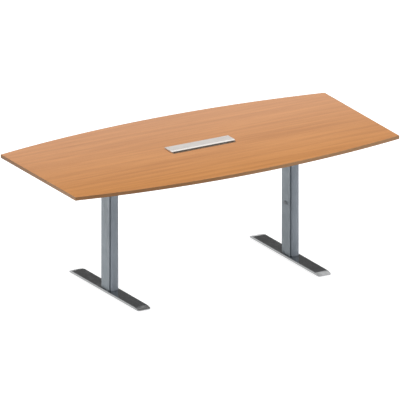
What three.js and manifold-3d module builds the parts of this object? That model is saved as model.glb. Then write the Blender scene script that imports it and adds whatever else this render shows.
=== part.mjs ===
// Conference table: a boat-shaped top on two column legs with long flat feet, and a cable port in the middle.
// Millimetres, +X along the table, +Y to the far long side, +Z up, origin on the floor under the middle.

import * as THREE from "three";
import { mergeVertices } from "three/addons/utils/BufferGeometryUtils.js";
import Module from "manifold-3d";

const wasm = await Module();
wasm.setup();

// Clearances between neighbouring pieces
const touchGap = 0.3;
const bandGap = 0.1;
const threadClearance = 0.4;
const headClearance = 1.2;

// How far a cutter runs past the face it opens
const overcut = 1;
const mergeDistance = 1e-4;

// Top: straight ends, circular bowed long sides
const topLength = 2000;
const topWidthMiddle = 1000;
const topWidthEnd = 800;
const topHeight = 730;
const boardThickness = 19;
const bandThickness = 2;
const bowSteps = 36;

// Cable port at the middle of the top: a raised lid, with an open slot along its near edge
const lidLength = 392;
const lidFront = -36.5;
const lidRear = 42;
const lidTop = topHeight + 8.4;
const lidPlate = 2.4;
const lidChamfer = 1;
const lidNoseLength = 12;
const lidNoseDrop = 3;
const lidRibWidth = 2;
const lidRibDepth = 2;
const lidRibPlaces = [24, -12];
const lidLipWidth = 2;
const lidLipBottom = topHeight + 2;
const lidCapLength = 18;
const lidCapWall = 2.5;
const pivotFromEdge = 1.8;
const pivotHeight = topHeight + 3.8;
const pinRadius = 0.9;
const pinClearance = 0.15;
const earRadius = 2;
const earLength = 6;
const earFromCap = 3;
const heelSteps = 4;
const slotWidth = 7.5;
const openingLength = 372;
const openingRear = 34;
const frameWall = 2;
const frameDepth = 29;
const flangeEnd = 7;
const flangeFront = 10;
const flangeRear = 10;
const flangeThickness = 1;

// Cable tray under the port
const trayLength = 500;
const trayWidth = 130;
const trayDepth = 66;
const trayLip = 20;
const traySheet = 1.5;
const trayScrewSpacing = 400;

// Bearers across the columns and rails along the table
const legSpacing = 1114;
const bearerLength = 640;
const bearerWidth = 60;
const bearerDepth = 30;
const bearerWall = 2.5;
const bearerCapFlange = 3;
const bearerCapPlug = 12;
const topScrewOffsets = [-280, -200, 200, 280];
const railOffset = 130;
const railWidth = 25;
const railWall = 2;
const railPlate = 3;
const railPlateInset = 1;
const railEar = 42;
const railBoltEdge = 2;

// Columns: side walls and two webs, with a bowed clip-on cover in each end
const columnWidth = 55;
const columnDepth = 82;
const columnWall = 3;
const webOffset = 22;
const headPlateLength = 150;
const headPlateThickness = 6;
const headBoltOffset = 58;
const headBoltGrip = 6;
const baseBlockHeight = 14;
const footBoltOffset = 12;
const coverBow = 13;
const coverGrooveEdge = 19;
const coverSkin = 2;
const coverLedge = 32;
const coverClipDepth = 3;
const coverClipOffset = 22.5;
const coverSteps = 14;
const coverTopGap = 40;
const rearCoverExit = 45;
const plugLength = 38;
const plugHeight = 18;
const plugHead = 2.5;
const plugNeckInset = 3;
const plugNeckDepth = 5;
const plugCentreHeight = 310;
const plugEndSteps = 6;

// Feet and levelling glides
const footLength = 748;
const footWidth = 80;
const footTop = 18;
const footBottom = 5;
const footEndHeight = 4;
const footBevelLength = 40;
const footWall = 4;
const footEdgeRadius = 2;
const footEdgeSteps = 3;
const footCorner = 12;
const footPockets = [[30, 125], [129, 225], [229, 318]];
const footBoltRecess = 2;
const footBoltGrip = 10;
const glideOffset = 334;
const glideRadius = 18;
const glideRim = 1;
const glideThreadRadius = 4;
const glideThreadTop = 13;

// Screws and bolts
const facets = 10;
const screwFacets = 8;
const socketShare = 0.5;
const woodScrew = { radius: 2, length: 16, headRadius: 4.5, headHeight: 2.6 };
const machineBolt = { radius: 4, headRadius: 6.5, headHeight: 5 };
const railBolt = { radius: 3, length: 20, headRadius: 5, headHeight: 5 };

// Heights and places that follow from the sizes above
const halfLength = topLength / 2;
const boltHoleRadius = machineBolt.radius + threadClearance;
const glideHoleRadius = glideThreadRadius + threadClearance;
const boardBottom = topHeight - boardThickness;
const bow = (topWidthMiddle - topWidthEnd) / 2;
const bowRadius = (halfLength ** 2 + bow ** 2) / (2 * bow);
const bowCentre = topWidthMiddle / 2 - bowRadius;
const bearerTop = boardBottom - touchGap;
const bearerBottom = bearerTop - bearerDepth;
const columnTop = bearerBottom - touchGap;
const columnBottom = footTop + touchGap;
const flangeBottom = topHeight + touchGap;
const flangeTop = flangeBottom + flangeThickness;
const lidUnderside = lidTop - lidPlate;
const openingFront = lidFront - slotWidth;
const openingMiddle = (openingFront + openingRear) / 2;
const openingHalf = (openingRear - openingFront) / 2;
const pivotY = lidRear - pivotFromEdge;
const lidPanelHalf = lidLength / 2 - lidCapLength - touchGap;
const sides = [
  { name: "left", sign: -1 },
  { name: "right", sign: 1 },
];
const faces = [
  { name: "front", sign: -1 },
  { name: "rear", sign: 1 },
];

const table = new THREE.Group();

function addPart(name, geometry, finish) {
  const mesh = new THREE.Mesh(geometry, new THREE.MeshStandardMaterial(finish));
  mesh.name = name;
  table.add(mesh);
}

const finishes = {
  beech: { color: 0xd09a6c, roughness: 0.45, metalness: 0 },
  beechEdge: { color: 0xa8764c, roughness: 0.5, metalness: 0 },
  aluminium: { color: 0xd8dbde, roughness: 0.35, metalness: 0.9 },
  silverPaint: { color: 0x9a9fa4, roughness: 0.45, metalness: 0.4 },
  coverPlastic: { color: 0x8c9298, roughness: 0.5, metalness: 0.2 },
  greyPlastic: { color: 0x74787c, roughness: 0.55, metalness: 0 },
  blackPlastic: { color: 0x1c1d1f, roughness: 0.6, metalness: 0 },
  chrome: { color: 0xc9cccf, roughness: 0.08, metalness: 1 },
  zinc: { color: 0xa7abae, roughness: 0.4, metalness: 0.9 },
};

// Solid helpers

function toSolid(geometry) {
  const bare = geometry.clone();
  bare.deleteAttribute("normal");
  bare.deleteAttribute("uv");
  const merged = mergeVertices(bare, mergeDistance);
  return new wasm.Manifold(new wasm.Mesh({
    numProp: 3,
    vertProperties: new Float32Array(merged.attributes.position.array),
    triVerts: new Uint32Array(merged.index.array),
  }));
}

function toGeometry(solid) {
  const mesh = solid.getMesh();
  const geometry = new THREE.BufferGeometry();
  geometry.setAttribute("position", new THREE.BufferAttribute(mesh.vertProperties, 3));
  geometry.setIndex(new THREE.BufferAttribute(mesh.triVerts, 1));
  geometry.computeVertexNormals();
  return geometry;
}

function cutAway(geometry, cutters) {
  let solid = toSolid(geometry);
  for (const cutter of cutters) {
    solid = solid.subtract(toSolid(cutter));
  }
  return toGeometry(solid);
}

function fuse(geometries) {
  let solid = toSolid(geometries[0]);
  for (const geometry of geometries.slice(1)) {
    solid = solid.add(toSolid(geometry));
  }
  return toGeometry(solid);
}

function common(first, second) {
  return toGeometry(toSolid(first).intersect(toSolid(second)));
}

function block(xRange, yRange, zRange) {
  const size = [xRange, yRange, zRange].map(([low, high]) => high - low);
  const middle = [xRange, yRange, zRange].map(([low, high]) => (low + high) / 2);
  return new THREE.BoxGeometry(...size).translate(...middle);
}

function outlineShape(points) {
  return new THREE.Shape(points.map(([across, up]) => new THREE.Vector2(across, up)));
}

// Prism of an XY outline between two heights
function upright(points, low, high, holes = []) {
  const shape = outlineShape(points);
  shape.holes = holes.map(outlineShape);
  return new THREE.ExtrudeGeometry(shape, { depth: high - low, bevelEnabled: false }).translate(0, 0, low);
}

// Prism of a YZ outline between two places along the table
function lengthways(points, low, high, holes = []) {
  return upright(points, low, high, holes).rotateY(Math.PI / 2).rotateX(Math.PI / 2);
}

function rectangle(halfAcross, halfUp, across = 0, up = 0) {
  return [
    [across - halfAcross, up - halfUp],
    [across + halfAcross, up - halfUp],
    [across + halfAcross, up + halfUp],
    [across - halfAcross, up + halfUp],
  ];
}

function uprightRod(radius, x, y, low, high) {
  return new THREE.CylinderGeometry(radius, radius, high - low, facets)
    .rotateX(Math.PI / 2)
    .translate(x, y, (low + high) / 2);
}

function lengthwaysRod(radius, y, z, low, high) {
  return new THREE.CylinderGeometry(radius, radius, high - low, facets)
    .rotateZ(Math.PI / 2)
    .translate((low + high) / 2, y, z);
}

// Screw standing with its head down at height 0 and its thread upwards, with a driver socket in the head
function screw({ radius, length, headRadius, headHeight }) {
  const socketRadius = headRadius * socketShare;
  const socketDepth = headHeight * socketShare;
  const profile = [
    [0, socketDepth],
    [socketRadius, socketDepth],
    [socketRadius, 0],
    [headRadius, 0],
    [headRadius, headHeight],
    [radius, headHeight],
    [radius, headHeight + length],
    [0, headHeight + length],
  ].map(([across, up]) => new THREE.Vector2(across, up));
  return new THREE.LatheGeometry(profile, screwFacets).rotateX(Math.PI / 2);
}

// Top board and its edge bands

function bowedY(x, inset) {
  return Math.sqrt((bowRadius - inset) ** 2 - x ** 2) + bowCentre;
}

function bowedRow(reach, inset) {
  const row = [];
  for (let step = 0; step <= bowSteps; step += 1) {
    const x = -reach + (2 * reach * step) / bowSteps;
    row.push([x, bowedY(x, inset)]);
  }
  return row;
}

const boardReach = halfLength - bandThickness - bandGap;

function addTop() {
  const farSide = bowedRow(boardReach, bandThickness + bandGap);
  const nearSide = farSide.map(([x, y]) => [x, -y]);
  const outline = [...nearSide, ...farSide.reverse()];
  const collarGap = frameWall + touchGap;
  const portHole = rectangle(openingLength / 2 + collarGap, openingHalf + collarGap, 0, openingMiddle);
  const board = upright(outline, boardBottom, topHeight, [portHole]);
  const pilots = woodScrewPlaces().map(({ x, y, thread }) =>
    uprightRod(woodScrew.radius + threadClearance, x, y, boardBottom - overcut, thread + touchGap));
  addPart("table_top", cutAway(board, pilots), finishes.beech);

  for (const { name, sign } of faces) {
    const outer = bowedRow(boardReach, 0);
    const inner = bowedRow(boardReach, bandThickness).reverse();
    const strip = [...outer, ...inner].map(([x, y]) => [x, sign * y]);
    addPart(`edge_band_${name}`, upright(strip, boardBottom, topHeight), finishes.beechEdge);
  }
  for (const { name, sign } of sides) {
    const strip = rectangle(bandThickness / 2, topWidthEnd / 2, sign * (halfLength - bandThickness / 2));
    addPart(`edge_band_${name}`, upright(strip, boardBottom, topHeight), finishes.beechEdge);
  }
}

// Cable port: frame in the cut-out, lid with end caps turning on two pins

function addPortFrame() {
  const opening = rectangle(openingLength / 2, openingHalf, 0, openingMiddle);
  const collarOuter = rectangle(openingLength / 2 + frameWall, openingHalf + frameWall, 0, openingMiddle);
  const collar = upright(collarOuter, flangeTop - frameDepth, flangeTop, [opening]);
  const flangeOuter = rectangle(
    openingLength / 2 + flangeEnd,
    openingHalf + (flangeFront + flangeRear) / 2,
    0,
    openingMiddle + (flangeRear - flangeFront) / 2,
  );
  const flange = upright(flangeOuter, flangeBottom, flangeTop, [opening]);
  const solids = [flange, collar];
  for (const { sign } of sides) {
    const outerEnd = sign * (lidPanelHalf - earFromCap);
    const range = [outerEnd, outerEnd - sign * earLength].sort((a, b) => a - b);
    const post = block(
      range,
      [pivotY - earRadius, pivotY + earRadius],
      [flangeTop - flangeThickness / 2, pivotHeight],
    );
    solids.push(fuse([post, lengthwaysRod(earRadius, pivotY, pivotHeight, ...range)]));
  }
  const pinHoles = sides.map(({ sign }) => pinHole(sign));
  addPart("port_frame", cutAway(fuse(solids), pinHoles), finishes.blackPlastic);
}

// Each pin reaches from the middle of the frame's ear to the middle of the lid's end cap
function pinRange(sign, slack) {
  const inner = lidPanelHalf - earFromCap - earLength / 2 - slack;
  const outer = lidLength / 2 - lidCapLength / 2 + slack;
  return [sign * inner, sign * outer].sort((a, b) => a - b);
}

function pinHole(sign) {
  const range = pinRange(sign, 2 * pinClearance);
  return lengthwaysRod(pinRadius + pinClearance, pivotY, pivotHeight, ...range);
}

function addPortLid() {
  const noseStart = lidFront + lidNoseLength;
  const lipTop = lidUnderside - lidNoseDrop * (1 - lidLipWidth / lidNoseLength);
  const shoulder = lidTop - lidChamfer;
  const ribBottom = lidUnderside - lidRibDepth;
  const ribNotches = lidRibPlaces.flatMap((y) => [
    [y + lidRibWidth / 2, lidUnderside],
    [y + lidRibWidth / 2, ribBottom],
    [y - lidRibWidth / 2, ribBottom],
    [y - lidRibWidth / 2, lidUnderside],
  ]);
  const crown = [
    [lidFront, lidTop - lidNoseDrop],
    [noseStart, lidTop],
    [lidRear - lidChamfer, lidTop],
    [lidRear, shoulder],
  ];
  const lip = [
    [noseStart, lidUnderside],
    [lidFront + lidLipWidth, lipTop],
    [lidFront + lidLipWidth, lidLipBottom],
    [lidFront, lidLipBottom],
  ];
  const panel = [...lip, ...crown, [lidRear, lidUnderside], ...ribNotches];
  addPart("port_lid", lengthways(panel, -lidPanelHalf, lidPanelHalf), finishes.aluminium);

  const skirtBottom = flangeTop + touchGap;
  const heel = pivotHeight - skirtBottom;
  const heelAngle = Math.asin(pivotFromEdge / heel);
  const heelArc = [];
  for (let step = 0; step <= heelSteps; step += 1) {
    const angle = heelAngle * (1 - step / heelSteps);
    heelArc.push([pivotY + heel * Math.sin(angle), pivotHeight - heel * Math.cos(angle)]);
  }
  const capOutline = [[lidFront, skirtBottom], ...crown, ...heelArc];
  for (const { name, sign } of sides) {
    const range = [sign * (lidLength / 2 - lidCapLength), (sign * lidLength) / 2].sort((a, b) => a - b);
    const pocket = block(
      [range[0] + lidCapWall, range[1] - lidCapWall],
      [noseStart, pivotY - heel - lidCapWall],
      [skirtBottom - overcut, lidUnderside],
    );
    const cap = cutAway(lengthways(capOutline, ...range), [pocket, pinHole(sign)]);
    addPart(`lid_end_cap_${name}`, cap, finishes.aluminium);
    const pin = lengthwaysRod(pinRadius, pivotY, pivotHeight, ...pinRange(sign, 0));
    addPart(`lid_pin_${name}`, pin, finishes.zinc);
  }
}

// Cable tray: one folded sheet, open at both ends, screwed under the board by its lips

function addCableTray() {
  const half = trayWidth / 2;
  const lipEnd = half + trayLip;
  const lipTop = boardBottom - touchGap;
  const floor = lipTop - trayDepth;
  const outerHalf = [
    [half, floor],
    [half, lipTop - traySheet],
    [lipEnd, lipTop - traySheet],
    [lipEnd, lipTop],
    [half - traySheet, lipTop],
    [half - traySheet, floor + traySheet],
  ];
  const mirrored = outerHalf.map(([y, z]) => [-y, z]).reverse();
  const sheet = lengthways([...outerHalf, ...mirrored], -trayLength / 2, trayLength / 2);
  const holes = trayScrewPlaces().map(({ x, y }) =>
    uprightRod(woodScrew.radius + threadClearance, x, y, lipTop - 2 * traySheet, lipTop + overcut));
  addPart("cable_tray", cutAway(sheet, holes), finishes.silverPaint);
}

// Where the wood screws stand: through the tray's lips, and inside the bearers

function trayScrewPlaces() {
  const seat = boardBottom - touchGap - traySheet - touchGap;
  const y = (trayWidth + trayLip) / 2;
  return sides.flatMap((side) => faces.map((face) => ({
    name: `tray_screw_${side.name}_${face.name}`,
    x: (side.sign * trayScrewSpacing) / 2,
    y: face.sign * y,
    head: seat - woodScrew.headHeight,
    thread: seat + woodScrew.length,
  })));
}

function bearerScrewPlaces() {
  const seat = bearerTop - bearerWall - touchGap;
  return sides.flatMap((side) => topScrewOffsets.map((y, index) => ({
    name: `top_screw_${side.name}_${index + 1}`,
    x: (side.sign * legSpacing) / 2,
    y,
    head: seat - woodScrew.headHeight,
    thread: seat + woodScrew.length,
  })));
}

function woodScrewPlaces() {
  return [...trayScrewPlaces(), ...bearerScrewPlaces()];
}

function addWoodScrews() {
  for (const { name, x, y, head } of woodScrewPlaces()) {
    addPart(name, screw(woodScrew).translate(x, y, head), finishes.zinc);
  }
}

// Bearers: closed tubes across the columns, with plastic end caps

const bearerTubeHalf = bearerLength / 2 - bearerCapFlange - touchGap;
const railBoltY = railOffset + railEar - railWidth / 2 - railBolt.headRadius - railBoltEdge;
const railBoltZ = (bearerTop + bearerBottom) / 2;

function addBearers() {
  const middle = (bearerTop + bearerBottom) / 2;
  const innerHalfWidth = bearerWidth / 2 - bearerWall;
  const innerHalfDepth = bearerDepth / 2 - bearerWall;
  for (const { name, sign } of sides) {
    const x = (sign * legSpacing) / 2;
    const outer = block(
      [x - bearerWidth / 2, x + bearerWidth / 2],
      [-bearerTubeHalf, bearerTubeHalf],
      [bearerBottom, bearerTop],
    );
    const bore = block(
      [x - innerHalfWidth, x + innerHalfWidth],
      [-bearerTubeHalf - overcut, bearerTubeHalf + overcut],
      [middle - innerHalfDepth, middle + innerHalfDepth],
    );
    const cutters = [bore];
    for (const y of topScrewOffsets) {
      cutters.push(uprightRod(woodScrew.radius + threadClearance, x, y, middle, bearerTop + overcut));
      cutters.push(uprightRod(woodScrew.headRadius + headClearance, x, y, bearerBottom - overcut, middle));
    }
    for (const { sign: face } of faces) {
      const boltY = face * headBoltOffset;
      cutters.push(uprightRod(boltHoleRadius, x, boltY, bearerBottom - overcut, middle));
      const inward = [x, x - sign * bearerWidth].sort((a, b) => a - b);
      cutters.push(lengthwaysRod(railBolt.radius + threadClearance, face * railBoltY, railBoltZ, ...inward));
      addBearerCap(`bearer_cap_${name}_${face < 0 ? "front" : "rear"}`, x, face, middle);
    }
    addPart(`bearer_${name}`, cutAway(outer, cutters), finishes.silverPaint);
  }
}

function addBearerCap(name, x, face, middle) {
  const plugHalfWidth = bearerWidth / 2 - bearerWall - touchGap;
  const plugHalfDepth = bearerDepth / 2 - bearerWall - touchGap;
  const flangeInner = bearerLength / 2 - bearerCapFlange;
  const alongY = (near, far) => [face * near, face * far].sort((a, b) => a - b);
  const flange = block(
    [x - bearerWidth / 2, x + bearerWidth / 2],
    alongY(flangeInner, bearerLength / 2),
    [bearerBottom, bearerTop],
  );
  const plug = block(
    [x - plugHalfWidth, x + plugHalfWidth],
    alongY(flangeInner - bearerCapPlug, flangeInner + bearerCapFlange / 2),
    [middle - plugHalfDepth, middle + plugHalfDepth],
  );
  addPart(name, fuse([flange, plug]), finishes.greyPlastic);
}

// Rails along the table: folded channels open below, bolted through end plates to the bearers' inner sides

function addRails() {
  const plateEnd = legSpacing / 2 - bearerWidth / 2 - touchGap;
  for (const { name, sign } of faces) {
    const y = sign * railOffset;
    const half = railWidth / 2;
    const channel = [
      [y - half, bearerBottom],
      [y - half + railWall, bearerBottom],
      [y - half + railWall, bearerTop - railWall],
      [y + half - railWall, bearerTop - railWall],
      [y + half - railWall, bearerBottom],
      [y + half, bearerBottom],
      [y + half, bearerTop],
      [y - half, bearerTop],
    ];
    const channelEnd = plateEnd - railPlate / 2;
    const solids = [lengthways(channel, -channelEnd, channelEnd)];
    const holes = [];
    const plateStart = y - sign * (half + railPlateInset);
    const plateRange = [plateStart, plateStart + sign * railEar].sort((a, b) => a - b);
    const plateHeights = [bearerBottom + railPlateInset, bearerTop - railPlateInset];
    for (const { name: endName, sign: side } of sides) {
      const xRange = [side * (plateEnd - railPlate), side * plateEnd].sort((a, b) => a - b);
      solids.push(block(xRange, plateRange, plateHeights));
      const boltY = sign * railBoltY;
      const holeEnds = [plateEnd - 2 * railPlate, plateEnd + railPlate];
      const holeRange = holeEnds.map((end) => side * end).sort((a, b) => a - b);
      holes.push(lengthwaysRod(railBolt.radius + threadClearance, boltY, railBoltZ, ...holeRange));
      const headAt = plateEnd - railPlate - touchGap - railBolt.headHeight;
      const bolt = screw(railBolt).rotateY((side * Math.PI) / 2).translate(side * headAt, boltY, railBoltZ);
      addPart(`rail_bolt_${name}_${endName}`, bolt, finishes.zinc);
    }
    addPart(`rail_${name}`, cutAway(fuse(solids), holes), finishes.silverPaint);
  }
}

// Columns: welded profile with head plate and base block, bolts at both ends

function addColumns() {
  const halfWidth = columnWidth / 2;
  const halfDepth = columnDepth / 2;
  const innerHalf = halfWidth - columnWall;
  const webInner = webOffset - columnWall / 2;
  const webOuter = webOffset + columnWall / 2;
  const profile = [
    [-halfWidth, -halfDepth],
    [-innerHalf, -halfDepth],
    [-innerHalf, -webOuter],
    [innerHalf, -webOuter],
    [innerHalf, -halfDepth],
    [halfWidth, -halfDepth],
    [halfWidth, halfDepth],
    [innerHalf, halfDepth],
    [innerHalf, webOuter],
    [-innerHalf, webOuter],
    [-innerHalf, halfDepth],
    [-halfWidth, halfDepth],
  ];
  const chamber = rectangle(innerHalf, webInner);
  const headPlate = [columnTop - headPlateThickness, columnTop];
  const boltLength = headPlateThickness + bearerWall + headBoltGrip;
  const headBolt = { ...machineBolt, length: boltLength };
  const footBoltHead = footBottom + footBoltRecess;
  const footBolt = { ...machineBolt, length: footTop - footBoltHead - machineBolt.headHeight + footBoltGrip };
  const footBoltTop = footBoltHead + machineBolt.headHeight + footBolt.length;

  for (const { name, sign } of sides) {
    const x = (sign * legSpacing) / 2;
    const tube = upright(profile, columnBottom, columnTop - headPlateThickness / 2, [chamber]);
    const plate = block([-halfWidth, halfWidth], [-headPlateLength / 2, headPlateLength / 2], headPlate);
    const base = block(
      [-innerHalf - columnWall / 2, innerHalf + columnWall / 2],
      [-webOffset, webOffset],
      [columnBottom, columnBottom + baseBlockHeight],
    );
    const plugHole = lengthways(
      oblong(plugLength - 2 * plugNeckInset, plugHeight - 2 * plugNeckInset, plugCentreHeight),
      -halfWidth - overcut,
      -webInner,
    );
    const holes = [sign > 0 ? plugHole : plugHole.rotateZ(Math.PI)];
    for (const { name: face, sign: side } of faces) {
      const headBoltY = side * headBoltOffset;
      const holeRange = [headPlate[0] - overcut, columnTop + overcut];
      holes.push(uprightRod(boltHoleRadius, 0, headBoltY, ...holeRange));
      const headBoltAt = headPlate[0] - touchGap - machineBolt.headHeight;
      const upperBolt = screw(headBolt).translate(x, headBoltY, headBoltAt);
      addPart(`head_bolt_${name}_${face}`, upperBolt, finishes.zinc);
      const footBoltY = side * footBoltOffset;
      const blindRange = [columnBottom - overcut, footBoltTop + touchGap];
      holes.push(uprightRod(boltHoleRadius, 0, footBoltY, ...blindRange));
      const lowerBolt = screw(footBolt).translate(x, footBoltY, footBoltHead);
      addPart(`foot_bolt_${name}_${face}`, lowerBolt, finishes.zinc);
    }
    const column = cutAway(fuse([tube, plate, base]), holes).translate(x, 0, 0);
    addPart(`column_${name}`, column, finishes.silverPaint);
    addColumnPlug(name, sign, x);
    for (const { name: face, sign: side } of faces) {
      addColumnCover(`column_cover_${name}_${face}`, x, side, headPlate[0]);
    }
  }
}

// Oblong outline with round ends, lying across the column's inner wall
function oblong(length, height, up) {
  const radius = height / 2;
  const run = length / 2 - radius;
  const points = [];
  for (const end of [1, -1]) {
    for (let step = 0; step <= plugEndSteps; step += 1) {
      const angle = end * (Math.PI / 2) - (end * Math.PI * step) / plugEndSteps;
      points.push([end * (run + radius * Math.cos(angle)), up + radius * Math.sin(angle)]);
    }
  }
  return points;
}

// Plug in the inner wall of each column, closing the hole for a lower cross rail
function addColumnPlug(name, sign, x) {
  const wall = x - (sign * columnWidth) / 2;
  const alongX = (near, far) => [wall - sign * near, wall - sign * far].sort((a, b) => a - b);
  const neckInset = plugNeckInset + touchGap;
  const headOutline = oblong(plugLength, plugHeight, plugCentreHeight);
  const head = lengthways(headOutline, ...alongX(touchGap, touchGap + plugHead));
  const neck = lengthways(
    oblong(plugLength - 2 * neckInset, plugHeight - 2 * neckInset, plugCentreHeight),
    ...alongX(touchGap + plugHead / 2, -plugNeckDepth),
  );
  addPart(`column_plug_${name}`, fuse([head, neck]), finishes.greyPlastic);
}

// Bowed cover clipped between the side walls: one edge laps over a wall, the other leaves an open groove
function addColumnCover(name, x, side, headPlateBottom) {
  const lapEdge = -columnWidth / 2;
  const middle = (coverGrooveEdge + lapEdge) / 2;
  const halfSpan = (coverGrooveEdge - lapEdge) / 2;
  const springLine = columnDepth / 2 + touchGap;
  const insideWall = columnWidth / 2 - columnWall - touchGap;
  const legInner = coverSkin - insideWall;
  const clipInner = coverClipOffset - coverSkin;
  const back = coverLedge - coverSkin;
  const clipEnd = back - coverClipDepth;
  const arc = (inset, fromAngle, toAngle) => {
    const points = [];
    for (let step = 0; step <= coverSteps; step += 1) {
      const angle = fromAngle + ((toAngle - fromAngle) * step) / coverSteps;
      points.push([
        middle + (halfSpan - inset) * Math.cos(angle),
        springLine + (coverBow - inset) * Math.sin(angle),
      ]);
    }
    return points;
  };
  const legAngle = Math.acos((legInner - middle) / (halfSpan - coverSkin));
  const outline = [
    ...arc(0, Math.PI, 0),
    [coverGrooveEdge, coverLedge],
    [insideWall, coverLedge],
    [insideWall, back],
    [coverClipOffset, back],
    [coverClipOffset, clipEnd],
    [clipInner, clipEnd],
    [clipInner, back],
    [coverGrooveEdge - coverSkin, back],
    ...arc(coverSkin, 0, legAngle),
    [legInner, clipEnd],
    [-insideWall, clipEnd],
    [-insideWall, springLine],
  ];
  const low = columnBottom + (side > 0 ? rearCoverExit : touchGap);
  const high = headPlateBottom - coverTopGap;
  const cover = upright(outline, low, high);
  const turned = side > 0 ? cover : cover.rotateZ(Math.PI);
  addPart(name, turned.translate(x, 0, 0), finishes.coverPlastic);
}

// Feet: long flat castings, ribbed and open underneath, standing on levelling glides

function addFeet() {
  const half = footLength / 2;
  const topHalf = half - footBevelLength;
  const profile = [
    [-half, footBottom],
    [half, footBottom],
    [half, footBottom + footEndHeight],
    [topHalf, footTop],
    [-topHalf, footTop],
    [-half, footBottom + footEndHeight],
  ];
  const pocketHalf = footWidth / 2 - footWall;
  const section = footSection();
  for (const { name, sign } of sides) {
    const x = (sign * legSpacing) / 2;
    const cutters = [];
    for (const { name: face, sign: side } of faces) {
      for (const [near, far] of footPockets) {
        const yRange = [side * near, side * far].sort((a, b) => a - b);
        const zRange = [footBottom - overcut, footTop - footWall];
        cutters.push(block([x - pocketHalf, x + pocketHalf], yRange, zRange));
      }
      const boltY = side * footBoltOffset;
      const seat = footBottom + footBoltRecess + machineBolt.headHeight + touchGap;
      cutters.push(uprightRod(boltHoleRadius, x, boltY, footBottom, footTop + overcut));
      cutters.push(uprightRod(machineBolt.headRadius + headClearance, x, boltY, footBottom - overcut, seat));
      const glideY = side * glideOffset;
      const threadTop = glideThreadTop + touchGap;
      cutters.push(uprightRod(glideHoleRadius, x, glideY, footBottom - overcut, threadTop));
      addPart(`glide_${name}_${face}`, glide().translate(x, glideY, 0), finishes.blackPlastic);
    }
    const blank = lengthways(profile, x - footWidth / 2 - overcut, x + footWidth / 2 + overcut);
    const bar = upright(section, -half - overcut, half + overcut).rotateX(Math.PI / 2).translate(x, 0, 0);
    const plan = upright(footPlan(half), footBottom - overcut, footTop + overcut).translate(x, 0, 0);
    addPart(`foot_${name}`, cutAway(common(common(blank, bar), plan), cutters), finishes.chrome);
  }
}

// Outline of a foot from above, with rounded corners
function footPlan(half) {
  const across = footWidth / 2 - footCorner;
  const along = half - footCorner;
  const points = [];
  for (const [signX, signY, turn] of [[1, 1, 0], [-1, 1, 1], [-1, -1, 2], [1, -1, 3]]) {
    for (let step = 0; step <= footEdgeSteps; step += 1) {
      const angle = ((turn + step / footEdgeSteps) * Math.PI) / 2;
      points.push([
        signX * across + footCorner * Math.cos(angle),
        signY * along + footCorner * Math.sin(angle),
      ]);
    }
  }
  return points;
}

// Cross-section of a foot, with its two long upper edges rounded
function footSection() {
  const edge = footWidth / 2 - footEdgeRadius;
  const points = [[-footWidth / 2, footBottom], [footWidth / 2, footBottom]];
  for (const end of [1, -1]) {
    for (let step = 0; step <= footEdgeSteps; step += 1) {
      const share = end > 0 ? step / footEdgeSteps : 1 - step / footEdgeSteps;
      const angle = (share * Math.PI) / 2;
      const across = edge + footEdgeRadius * Math.cos(angle);
      points.push([end * across, footTop - footEdgeRadius * (1 - Math.sin(angle))]);
    }
  }
  return points;
}

// Levelling glide: a disc with a chamfered rim and a thread into the foot
function glide() {
  const discTop = footBottom - touchGap;
  const profile = [
    [0, 0],
    [glideRadius - glideRim, 0],
    [glideRadius, glideRim],
    [glideRadius, discTop - glideRim],
    [glideRadius - glideRim, discTop],
    [glideThreadRadius, discTop],
    [glideThreadRadius, glideThreadTop],
    [0, glideThreadTop],
  ].map(([across, up]) => new THREE.Vector2(across, up));
  return new THREE.LatheGeometry(profile, 2 * facets).rotateX(Math.PI / 2);
}

addTop();
addPortFrame();
addPortLid();
addCableTray();
addWoodScrews();
addBearers();
addRails();
addColumns();
addFeet();

export default table;
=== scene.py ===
import math

import bpy
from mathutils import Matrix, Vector


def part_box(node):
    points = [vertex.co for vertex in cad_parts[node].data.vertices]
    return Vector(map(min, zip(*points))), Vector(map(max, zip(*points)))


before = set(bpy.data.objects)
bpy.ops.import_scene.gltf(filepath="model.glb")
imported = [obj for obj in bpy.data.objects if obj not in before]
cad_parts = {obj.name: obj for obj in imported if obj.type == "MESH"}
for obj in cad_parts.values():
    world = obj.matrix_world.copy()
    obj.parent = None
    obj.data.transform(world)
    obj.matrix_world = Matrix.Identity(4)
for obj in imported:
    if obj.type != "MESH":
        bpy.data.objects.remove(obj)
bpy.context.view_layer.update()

scene = bpy.context.scene
mm = 0.001


# Small helpers for node trees

colourMix = {"amount": 0, "first": 6, "second": 7, "result": 2}     # sockets of a colour Mix node


def feed(tree, value, socket):
    if isinstance(value, bpy.types.NodeSocket):
        tree.links.new(value, socket)
    else:
        socket.default_value = value


def addNode(tree, kind, values=None, **settings):
    made = tree.nodes.new(kind)
    for key, value in settings.items():
        setattr(made, key, value)
    for socket, value in (values or {}).items():
        feed(tree, value, made.inputs[socket])
    return made


def calc(tree, operation, first, second, clamp=False):
    made = addNode(tree, "ShaderNodeMath", {0: first, 1: second}, operation=operation, use_clamp=clamp)
    return made.outputs[0]


def plus(tree, first, second, clamp=False):
    return calc(tree, "ADD", first, second, clamp)


def times(tree, first, second):
    return calc(tree, "MULTIPLY", first, second)


def spread(tree, value, fromRange, toRange, **settings):
    values = {
        "Value": value,
        "From Min": fromRange[0],
        "From Max": fromRange[1],
        "To Min": toRange[0],
        "To Max": toRange[1],
    }
    return addNode(tree, "ShaderNodeMapRange", values, **settings).outputs["Result"]


def blendColour(tree, amount, first, second, blendType="MIX"):
    made = addNode(tree, "ShaderNodeMix", data_type="RGBA", blend_type=blendType)
    feed(tree, amount, made.inputs[colourMix["amount"]])
    feed(tree, first, made.inputs[colourMix["first"]])
    feed(tree, second, made.inputs[colourMix["second"]])
    return made.outputs[colourMix["result"]]


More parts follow.
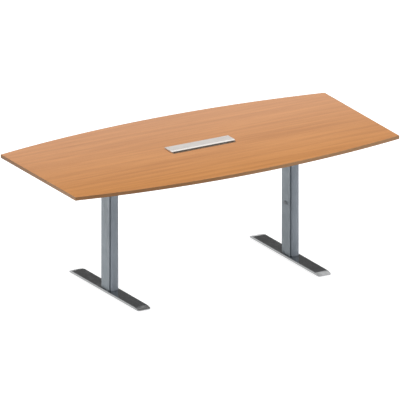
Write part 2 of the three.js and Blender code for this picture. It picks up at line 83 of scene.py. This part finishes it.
def brighten(tree, colour, factor):
    return addNode(tree, "ShaderNodeHueSaturation", {"Color": colour, "Value": factor}).outputs[0]


def stretchedNoise(tree, vector, noise):
    mapped = addNode(tree, "ShaderNodeMapping", {"Vector": vector, "Scale": noise["stretch"]}).outputs[0]
    values = {"Vector": mapped, "Scale": 1.0, "Detail": noise["detail"], "Roughness": noise["rough"]}
    return addNode(tree, "ShaderNodeTexNoise", values).outputs[0]


def turnQuarter(tree, vector):
    values = {"Vector": vector, "Rotation": (0, 0, math.pi / 2)}
    return addNode(tree, "ShaderNodeMapping", values).outputs[0]


# Effects that several finishes share. Each puts out a colour, a roughness and a height

effectOutputs = {"Color": "Color", "Rough": "Float", "Height": "Float"}
noiseBand = (0.3, 0.7)                      # where most of a noise's values lie
eitherWay = (-1.0, 1.0)
noneToFull = (0.0, 1.0)


def newEffect(name, inputs):
    tree = bpy.data.node_groups.new(name, "ShaderNodeTree")
    for title, kind in inputs.items():
        tree.interface.new_socket(title, in_out="INPUT", socket_type="NodeSocket" + kind)
    for title, kind in effectOutputs.items():
        tree.interface.new_socket(title, in_out="OUTPUT", socket_type="NodeSocket" + kind)
    return tree, tree.nodes.new("NodeGroupInput").outputs, tree.nodes.new("NodeGroupOutput").inputs


def useEffect(tree, effect, values):
    return addNode(tree, "ShaderNodeGroup", values, node_tree=effect).outputs


woodGrain = {
    "plank": {"stretch": (0.7, 7.5, 7.5), "detail": 2.0, "rough": 0.5},     # planks of tone
    "ring": {"stretch": (1.1, 34, 34), "detail": 4.0, "rough": 0.6},        # growth rings, cut flat
    "pore": {"stretch": (6, 260, 260), "detail": 3.0, "rough": 0.6},        # pores along the grain
    "fleck": {"stretch": (150, 900, 900), "detail": 1.0, "rough": 0.5},     # short ray flecks
    "plankShare": 0.1,
    "ringShare": 0.6,
    "poreShare": 0.3,
    "toneRange": (0.38, 0.62),
    "middleTone": 0.5,
    "fleckRange": (0.6, 0.72),
    "fleckDepth": 0.5,
    "roughRange": (0.28, 0.40),
}


def makeWoodFigure():
    tree, given, out = newEffect("woodFigure", {
        "Vector": "Vector",
        "Light": "Color",
        "Dark": "Color",
        "Contrast": "Float",
        "Fleck": "Float",
        "Pale": "Color",
        "Paling": "Float",
        "Drift": "Vector",
    })
    vector = given["Vector"]
    plank = stretchedNoise(tree, vector, woodGrain["plank"])
    ring = stretchedNoise(tree, vector, woodGrain["ring"])
    pore = stretchedNoise(tree, vector, woodGrain["pore"])
    fleck = stretchedNoise(tree, vector, woodGrain["fleck"])
    middle = woodGrain["middleTone"]
    tone = plus(tree, times(tree, plank, woodGrain["plankShare"]), times(tree, ring, woodGrain["ringShare"]))
    tone = plus(tree, tone, times(tree, pore, woodGrain["poreShare"]))
    tone = spread(tree, tone, woodGrain["toneRange"], (-middle, middle))
    tone = plus(tree, times(tree, tone, given["Contrast"]), middle, clamp=True)
    colour = blendColour(tree, tone, given["Light"], given["Dark"])
    drift = addNode(tree, "ShaderNodeVectorMath", {0: vector, 1: given["Drift"]}, operation="DOT_PRODUCT")
    drift = plus(tree, drift.outputs["Value"], middle, clamp=True)          # one side is paler: painted sheen and painted light on the top, and one end of each edge band paler
    colour = blendColour(tree, times(tree, drift, given["Paling"]), colour, given["Pale"])
    flecks = times(tree, spread(tree, fleck, woodGrain["fleckRange"], noneToFull), given["Fleck"])
    feed(tree, blendColour(tree, flecks, colour, given["Dark"], "MULTIPLY"), out["Color"])
    feed(tree, spread(tree, pore, noiseBand, woodGrain["roughRange"]), out["Rough"])
    feed(tree, calc(tree, "SUBTRACT", pore, times(tree, flecks, woodGrain["fleckDepth"])), out["Height"])
    return tree


grit = {
    "cloud": {"stretch": (9, 9, 5), "detail": 3.0, "rough": 0.5},           # slow drift over the surface
    "handled": {"stretch": (40, 40, 22), "detail": 4.0, "rough": 0.6},      # patches rubbed by hands
    "grainDetail": 2.0,
    "cloudShare": 0.6,
    "grainShare": 0.4,
    "handledRange": (0.35, 0.7),
    "handledRough": (-0.08, 0.1),
}


def makeFineGrit():
    tree, given, out = newEffect("fineGrit", {
        "Vector": "Vector",
        "Base": "Color",
        "Rough": "Float",
        "Mottle": "Float",
        "Grain": "Float",
    })
    values = {"Vector": given["Vector"], "Scale": given["Grain"], "Detail": grit["grainDetail"]}
    grain = addNode(tree, "ShaderNodeTexNoise", values).outputs[0]
    cloud = stretchedNoise(tree, given["Vector"], grit["cloud"])
    handled = stretchedNoise(tree, given["Vector"], grit["handled"])
    shade = plus(tree, times(tree, cloud, grit["cloudShare"]), times(tree, grain, grit["grainShare"]))
    shade = times(tree, spread(tree, shade, noiseBand, eitherWay), given["Mottle"])
    feed(tree, brighten(tree, given["Base"], plus(tree, shade, 1.0)), out["Color"])
    worn = spread(tree, handled, grit["handledRange"], grit["handledRough"])
    feed(tree, plus(tree, given["Rough"], worn, clamp=True), out["Rough"])
    feed(tree, grain, out["Height"])
    return tree


drawing = {
    "smear": {"stretch": (14, 30, 30), "detail": 3.0, "rough": 0.5},        # wiped patches
    "along": 5.0,
    "lineDetail": 2.0,
    "lineRough": 0.5,
    "smearRough": (-0.04, 0.07),
}


def makeDrawnLines():
    tree, given, out = newEffect("drawnLines", {
        "Vector": "Vector",
        "Base": "Color",
        "Rough": "Float",
        "Streak": "Float",
        "Across": "Float",
    })
    parts = addNode(tree, "ShaderNodeSeparateXYZ", {"Vector": given["Vector"]}).outputs
    stretched = addNode(tree, "ShaderNodeCombineXYZ", {
        "X": times(tree, parts["X"], drawing["along"]),
        "Y": times(tree, parts["Y"], given["Across"]),
        "Z": times(tree, parts["Z"], given["Across"]),
    }).outputs[0]
    values = {"Vector": stretched, "Scale": 1.0, "Detail": drawing["lineDetail"]}
    line = addNode(tree, "ShaderNodeTexNoise", values).outputs[0]
    smear = stretchedNoise(tree, given["Vector"], drawing["smear"])
    shade = times(tree, spread(tree, line, noiseBand, eitherWay), given["Streak"])
    feed(tree, brighten(tree, given["Base"], plus(tree, shade, 1.0)), out["Color"])
    wiped = spread(tree, smear, noiseBand, drawing["smearRough"])
    loose = plus(tree, times(tree, shade, drawing["lineRough"]), wiped)
    feed(tree, plus(tree, given["Rough"], loose, clamp=True), out["Rough"])
    feed(tree, line, out["Height"])
    return tree


woodFigure = makeWoodFigure()
fineGrit = makeFineGrit()
drawnLines = makeDrawnLines()
print("shared effects made")


# Finishes

def startFinish(name, constants):
    material = bpy.data.materials.new(name)
    material.use_nodes = True
    tree = material.node_tree
    shader = next(node for node in tree.nodes if node.type == "BSDF_PRINCIPLED")
    for socket, value in constants.items():
        shader.inputs[socket].default_value = value
    place = addNode(tree, "ShaderNodeTexCoord").outputs["Object"]
    return material, tree, shader, place


def wireFinish(tree, shader, effect, look):
    feed(tree, effect["Color"], shader.inputs["Base Color"])
    feed(tree, effect["Rough"], shader.inputs["Roughness"])
    values = {"Height": effect["Height"], "Strength": look["bump"], "Distance": look["bumpDepth"]}
    feed(tree, addNode(tree, "ShaderNodeBump", values).outputs[0], shader.inputs["Normal"])


beechTop = {
    "light": (0.645, 0.284, 0.087, 1),
    "dark": (0.505, 0.205, 0.056, 1),
    "specular": 0.25,
    "contrast": 1.0,
    "fleck": 0.25,
    # pale, paling and drift paint the top paler toward the far side and slightly toward the right: painted
    # sheen and painted light
    "pale": (1.0, 0.80, 0.78, 1),
    "paling": 0.14,
    "drift": (0.1, 1.1, 0),
    "backed": True,
    "bump": 0.06,
    "bumpDepth": 0.2 * mm,
}

# The band's beech is the top's decor coloured darker: painted shade of the vertical edges
shadedBeechBand = {
    "light": (0.41, 0.205, 0.088, 1),
    "dark": (0.32, 0.150, 0.058, 1),
    "specular": 0.25,
    "contrast": 0.9,
    "fleck": 0.2,
    "pale": (0.80, 0.50, 0.28, 1),
    "paling": 0.26,
    "drift": (2.0, 0, 0),
    "backed": False,
    "bump": 0.05,
    "bumpDepth": 0.2 * mm,
}

backing = {
    "paper": (0.70, 0.69, 0.67, 1),
    "speck": {"stretch": (260, 300, 300), "detail": 3.0, "rough": 0.5},
    "speckValue": (0.92, 1.06),
    "facingDown": (-0.4, -0.6),             # height of the normal, from no paper to all paper
}


def makeBeech(name, look, quarterTurn=False):
    material, tree, shader, place = startFinish(name, {"Specular IOR Level": look["specular"]})
    if quarterTurn:
        place = turnQuarter(tree, place)
    effect = useEffect(tree, woodFigure, {
        "Vector": place,
        "Light": look["light"],
        "Dark": look["dark"],
        "Contrast": look["contrast"],
        "Fleck": look["fleck"],
        "Pale": look["pale"],
        "Paling": look["paling"],
        "Drift": look["drift"],
    })
    wireFinish(tree, shader, effect, look)
    if look["backed"]:
        facing = addNode(tree, "ShaderNodeTexCoord").outputs["Normal"]
        height = addNode(tree, "ShaderNodeSeparateXYZ", {"Vector": facing}).outputs["Z"]
        below = spread(tree, height, backing["facingDown"], noneToFull)
        speck = stretchedNoise(tree, place, backing["speck"])
        paper = brighten(tree, backing["paper"], spread(tree, speck, noiseBand, backing["speckValue"]))
        feed(tree, blendColour(tree, below, effect["Color"], paper), shader.inputs["Base Color"])
    return material


silverPaint = {
    "base": (0.38, 0.43, 0.47, 1),
    "metallic": 0.25,
    "specular": 0.5,
    "rough": 0.48,
    "mottle": 0.05,
    "grain": 1400.0,
    "bump": 0.10,
    "bumpDepth": 0.15 * mm,
}

coverGrey = {
    "base": (0.40, 0.45, 0.51, 1),
    "metallic": 0.15,
    "specular": 0.45,
    "rough": 0.50,
    "mottle": 0.05,
    "grain": 900.0,
    "bump": 0.06,
    "bumpDepth": 0.12 * mm,
}

mouldedGrey = {
    "base": (0.39, 0.42, 0.45, 1),
    "metallic": 0.0,
    "specular": 0.4,
    "rough": 0.55,
    "mottle": 0.10,
    "grain": 700.0,
    "bump": 0.15,
    "bumpDepth": 0.2 * mm,
}

# The frame is coloured the dark brown of the shade on the wood under the lid's front: painted shade in the
# slot
frameSlotShade = {
    "base": (0.19, 0.125, 0.08, 1),
    "metallic": 0.0,
    "specular": 0.4,
    "rough": 0.5,
    "mottle": 0.12,
    "grain": 800.0,
    "bump": 0.12,
    "bumpDepth": 0.2 * mm,
}

mouldedBlack = {
    "base": (0.016, 0.016, 0.017, 1),
    "metallic": 0.0,
    "specular": 0.35,
    "rough": 0.58,
    "mottle": 0.15,
    "grain": 800.0,
    "bump": 0.15,
    "bumpDepth": 0.2 * mm,
}


def makeGritty(name, look):
    material, tree, shader, place = startFinish(name, {
        "Metallic": look["metallic"],
        "Specular IOR Level": look["specular"],
    })
    effect = useEffect(tree, fineGrit, {
        "Vector": place,
        "Base": look["base"],
        "Rough": look["rough"],
        "Mottle": look["mottle"],
        "Grain": look["grain"],
    })
    wireFinish(tree, shader, effect, look)
    return material


satinAluminium = {
    "base": (0.76, 0.725, 0.69, 1),
    "metallic": 0.46,
    "specular": 0.5,
    "rough": 0.42,
    "streak": 0.05,
    "across": 1200.0,
    "quarterTurn": False,
    "bump": 0.04,
    "bumpDepth": 0.1 * mm,
}

polishedChrome = {
    "base": (0.38, 0.385, 0.39, 1),
    "metallic": 1.0,
    "specular": 0.5,
    "rough": 0.16,
    "streak": 0.06,
    "across": 500.0,
    "quarterTurn": True,
    "bump": 0.02,
    "bumpDepth": 0.1 * mm,
}

zincPlate = {
    "base": (0.55, 0.56, 0.55, 1),
    "metallic": 1.0,
    "specular": 0.5,
    "rough": 0.36,
    "streak": 0.10,
    "across": 900.0,
    "quarterTurn": False,
    "bump": 0.05,
    "bumpDepth": 0.1 * mm,
}


def makeDrawn(name, look):
    material, tree, shader, place = startFinish(name, {
        "Metallic": look["metallic"],
        "Specular IOR Level": look["specular"],
    })
    if look["quarterTurn"]:
        place = turnQuarter(tree, place)
    effect = useEffect(tree, drawnLines, {
        "Vector": place,
        "Base": look["base"],
        "Rough": look["rough"],
        "Streak": look["streak"],
        "Across": look["across"],
    })
    wireFinish(tree, shader, effect, look)
    return material


finishes = {
    "beechTop": makeBeech("beechTop", beechTop),
    "shadedBeechBand": makeBeech("shadedBeechBand", shadedBeechBand),
    "shadedBeechBandEnd": makeBeech("shadedBeechBandEnd", shadedBeechBand, quarterTurn=True),
    "satinAluminium": makeDrawn("satinAluminium", satinAluminium),
    "polishedChrome": makeDrawn("polishedChrome", polishedChrome),
    "zincPlate": makeDrawn("zincPlate", zincPlate),
    "silverPaint": makeGritty("silverPaint", silverPaint),
    "coverGrey": makeGritty("coverGrey", coverGrey),
    "mouldedGrey": makeGritty("mouldedGrey", mouldedGrey),
    "frameSlotShade": makeGritty("frameSlotShade", frameSlotShade),
    "mouldedBlack": makeGritty("mouldedBlack", mouldedBlack),
}
print("finishes made:", len(finishes))


# Softened edges on every solid, with smooth shading between near-level faces

edgeCare = {
    "weld": 0.01 * mm,
    "flat": math.radians(0.1),
    "sharp": math.radians(32),
    "rounds": 2,
}
smoothBelow = {"round": math.radians(38), "creased": math.radians(10)}
creasedPieces = ("port_lid", "lid_end_cap")     # the lid's sloped front edge stays crisp


def makeShadeTree(name):
    tree = bpy.data.node_groups.new(name + "Shading", "GeometryNodeTree")
    tree.interface.new_socket("Geometry", in_out="INPUT", socket_type="NodeSocketGeometry")
    tree.interface.new_socket("Geometry", in_out="OUTPUT", socket_type="NodeSocketGeometry")
    given = tree.nodes.new("NodeGroupInput").outputs[0]
    out = tree.nodes.new("NodeGroupOutput").inputs[0]
    bare = addNode(tree, "GeometryNodeRemoveAttribute", {"Geometry": given, "Name": "custom_normal"})
    smooth = addNode(tree, "GeometryNodeSetShadeSmooth", {"Geometry": bare.outputs[0]}, domain="FACE")
    angle = addNode(tree, "GeometryNodeInputMeshEdgeAngle").outputs[0]
    steep = addNode(tree, "FunctionNodeCompare", {0: angle, 1: smoothBelow[name]}, operation="GREATER_THAN")
    values = {"Geometry": smooth.outputs[0], "Selection": steep.outputs[0], "Shade Smooth": False}
    crease = addNode(tree, "GeometryNodeSetShadeSmooth", values, domain="EDGE")
    tree.links.new(crease.outputs[0], out)
    return tree


shadeTrees = {name: makeShadeTree(name) for name in smoothBelow}


def dress(node, finish, radius):
    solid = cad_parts[node]
    if not solid.material_slots:
        solid.data.materials.append(None)
    for slot in solid.material_slots:
        slot.link = "OBJECT"
        slot.material = finishes[finish]
    weld = solid.modifiers.new("weld", "WELD")
    weld.merge_threshold = edgeCare["weld"]
    level = solid.modifiers.new("level", "DECIMATE")
    level.decimate_type = "DISSOLVE"
    level.angle_limit = edgeCare["flat"]
    bevel = solid.modifiers.new("edge", "BEVEL")
    bevel.width = radius * mm
    bevel.segments = edgeCare["rounds"]
    bevel.limit_method = "ANGLE"
    bevel.angle_limit = edgeCare["sharp"]
    bevel.use_clamp_overlap = True
    shade = solid.modifiers.new("shade", "NODES")
    shade.node_group = shadeTrees["creased" if node.startswith(creasedPieces) else "round"]
    even = solid.modifiers.new("even", "WEIGHTED_NORMAL")       # large faces stay flat in the light
    even.mode = "FACE_AREA"
    even.keep_sharp = True


# Finish and edge radius in millimetres, by the start of the node's name. The first row that fits is used
pieceFinish = [
    ("table_top", "beechTop", 0.3),
    ("edge_band_left", "shadedBeechBandEnd", 0.8),
    ("edge_band_right", "shadedBeechBandEnd", 0.8),
    ("edge_band", "shadedBeechBand", 0.8),
    ("port_frame", "frameSlotShade", 0.3),
    ("port_lid", "satinAluminium", 0.4),
    ("lid_end_cap", "satinAluminium", 0.4),
    ("lid_pin", "zincPlate", 0.1),
    ("cable_tray", "silverPaint", 0.4),
    ("tray_screw", "zincPlate", 0.3),
    ("bearer_cap", "mouldedGrey", 0.8),
    ("bearer", "silverPaint", 1.2),
    ("rail_bolt", "zincPlate", 0.4),
    ("rail", "silverPaint", 0.5),
    ("top_screw", "zincPlate", 0.3),
    ("column_cover", "coverGrey", 0.4),
    ("column_plug", "mouldedGrey", 0.8),
    ("column", "silverPaint", 1.2),
    ("head_bolt", "zincPlate", 0.4),
    ("foot_bolt", "zincPlate", 0.4),
    ("foot", "polishedChrome", 0.6),
    ("glide", "mouldedBlack", 0.4),
]

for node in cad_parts:
    finish, radius = next(row[1:] for row in pieceFinish if node.startswith(row[0]))
    dress(node, finish, radius)
print("solids dressed:", len(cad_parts))


# Floor, light and camera

floorLook = {
    "half": 150.0,
    "grey": (0.50, 0.50, 0.50, 1),
    "lift": 0.80,
}


def makeFloor():
    half = floorLook["half"]
    corners = [(-half, -half, 0), (half, -half, 0), (half, half, 0), (-half, half, 0)]
    mesh = bpy.data.meshes.new("floor")
    mesh.from_pydata(corners, [], [range(len(corners))])
    floor = bpy.data.objects.new("floor", mesh)
    scene.collection.objects.link(floor)
    material = bpy.data.materials.new("paleFloor")
    material.use_nodes = True
    tree = material.node_tree
    tree.nodes.clear()
    diffuse = addNode(tree, "ShaderNodeBsdfDiffuse", {"Color": floorLook["grey"]}).outputs[0]
    glow = addNode(tree, "ShaderNodeEmission", {"Strength": floorLook["lift"]}).outputs[0]
    lifted = addNode(tree, "ShaderNodeAddShader", {0: diffuse, 1: glow}).outputs[0]
    path = addNode(tree, "ShaderNodeLightPath").outputs
    seen = calc(tree, "MAXIMUM", path["Is Camera Ray"], path["Is Glossy Ray"])
    seen = calc(tree, "MAXIMUM", seen, path["Is Transmission Ray"])
    front = addNode(tree, "ShaderNodeMixShader", {0: seen, 1: diffuse, 2: lifted}).outputs[0]
    clear = addNode(tree, "ShaderNodeBsdfTransparent").outputs[0]
    below = addNode(tree, "ShaderNodeNewGeometry").outputs["Backfacing"]
    surface = addNode(tree, "ShaderNodeMixShader", {0: below, 1: front, 2: clear}).outputs[0]
    addNode(tree, "ShaderNodeOutputMaterial", {"Surface": surface})
    mesh.materials.append(material)


skyLook = {
    "rise": (0.42, 0.72),                   # heights where the sky starts and stops brightening
    "levels": (0.14, 1.60),
    "horizon": 0.0,
    "colour": (1, 1, 1, 1),
}


def makeSky():
    world = bpy.data.worlds.new("softStudio")
    world.use_nodes = True
    tree = world.node_tree
    tree.nodes.clear()
    direction = addNode(tree, "ShaderNodeTexCoord").outputs["Generated"]
    height = addNode(tree, "ShaderNodeSeparateXYZ", {"Vector": direction}).outputs["Z"]
    level = spread(tree, height, skyLook["rise"], skyLook["levels"], interpolation_type="SMOOTHSTEP")
    # Below the horizon it is white. Low views see that past the floor, which keeps it off the table
    under = calc(tree, "LESS_THAN", height, skyLook["horizon"])
    level = calc(tree, "MAXIMUM", level, under)
    values = {"Color": skyLook["colour"], "Strength": level}
    background = addNode(tree, "ShaderNodeBackground", values).outputs[0]
    addNode(tree, "ShaderNodeOutputWorld", {"Surface": background})
    scene.world = world


sidePanel = {
    "place": (4.2, -2.2, 2.4),
    "aim": (0, 0, 0.5),
    "size": (2.0, 1.2),
    "power": 12.0,
}


def makeSidePanel():
    lamp = bpy.data.lights.new("sidePanel", "AREA")
    lamp.shape = "RECTANGLE"
    lamp.energy = sidePanel["power"]
    lamp.size, lamp.size_y = sidePanel["size"]
    holder = bpy.data.objects.new("sidePanel", lamp)
    holder.location = sidePanel["place"]
    aim = Vector(sidePanel["aim"]) - Vector(sidePanel["place"])
    holder.rotation_euler = aim.to_track_quat("-Z", "Y").to_euler()
    holder.visible_camera = False
    scene.collection.objects.link(holder)


shot = {
    "azimuth": -29.97,
    "elevation": 19.37,
    "width": 2.1386,
    "aimBelowTop": 0.294,
    "distance": 6.0,
    "seeTo": 400.0,
}


def makeCamera():
    turn = math.radians(shot["azimuth"])
    tilt = math.radians(shot["elevation"])
    back = Vector((math.sin(turn) * math.cos(tilt), -math.cos(turn) * math.cos(tilt), math.sin(tilt)))
    up = Vector((-math.sin(turn) * math.sin(tilt), math.cos(turn) * math.sin(tilt), math.cos(tilt)))
    topMiddle = Vector((0, 0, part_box("table_top")[1].z))
    lens = bpy.data.cameras.new("camera")
    lens.type = "ORTHO"
    lens.ortho_scale = shot["width"]
    lens.clip_end = shot["seeTo"]
    camera = bpy.data.objects.new("camera", lens)
    camera.location = topMiddle - up * shot["aimBelowTop"] + back * shot["distance"]
    camera.rotation_euler = (-back).to_track_quat("-Z", "Y").to_euler()
    scene.collection.objects.link(camera)
    scene.camera = camera


makeFloor()
makeSky()
makeSidePanel()
makeCamera()
scene.view_settings.view_transform = "Standard"
print("stage set")
